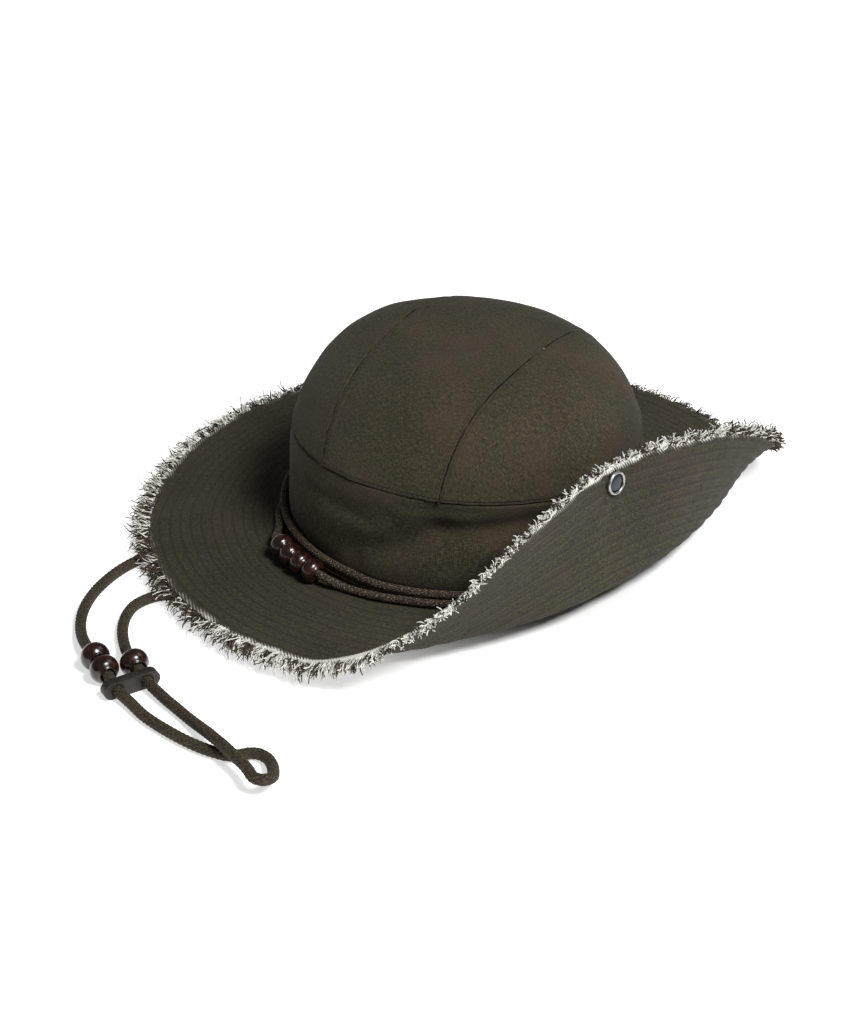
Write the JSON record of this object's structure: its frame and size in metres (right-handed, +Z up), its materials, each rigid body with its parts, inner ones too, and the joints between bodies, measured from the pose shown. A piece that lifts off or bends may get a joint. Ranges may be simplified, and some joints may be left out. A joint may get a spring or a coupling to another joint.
{
  "type": "safari hat",
  "caption": "Safari hat with a panelled dome crown, a wide stitched brim turned up and snapped on one side, a frayed edge, a beaded braided hatband and a loose braided chin cord.",
  "frame": {"origin": "on the surface that the hat rests on, under the middle of the box round the hat without its chin cord", "axes": "+Z up; the front of the hat faces -Y; the wearer's left, where the brim is turned up, is +X"},
  "size_m": [0.3202, 0.4416, 0.1118],
  "materials": {
    "canvas": "matt woven cotton",
    "frayed_yarn": "matt loose yarn",
    "hatband_braid": "braided, slight sheen",
    "chin_braid": "braided, matt",
    "wooden_bead": "polished dark wood",
    "snap_metal": "satin metal",
    "slider_plastic": "matt"
  },
  "bodies": {
    "root": {"crown_center_panel": "canvas", "crown_side_left": "canvas", "crown_side_right": "canvas", "crown_band": "canvas", "brim": "canvas", "brim_fringe": "frayed_yarn", "hatband_cord_upper": "hatband_braid", "hatband_cord_lower": "hatband_braid", "snap_cap": "snap_metal", "snap_post": "snap_metal", "chin_cord": "chin_braid", "chin_slider": "slider_plastic", "cord_ear_left": "canvas", "cord_ear_right": "canvas", "hatband_bead_1": "wooden_bead", "hatband_bead_2": "wooden_bead", "hatband_bead_3": "wooden_bead", "hatband_bead_4": "wooden_bead", "chin_bead_1": "wooden_bead", "chin_bead_2": "wooden_bead", "chin_bead_3": "wooden_bead"}
  },
  "joints": []
}
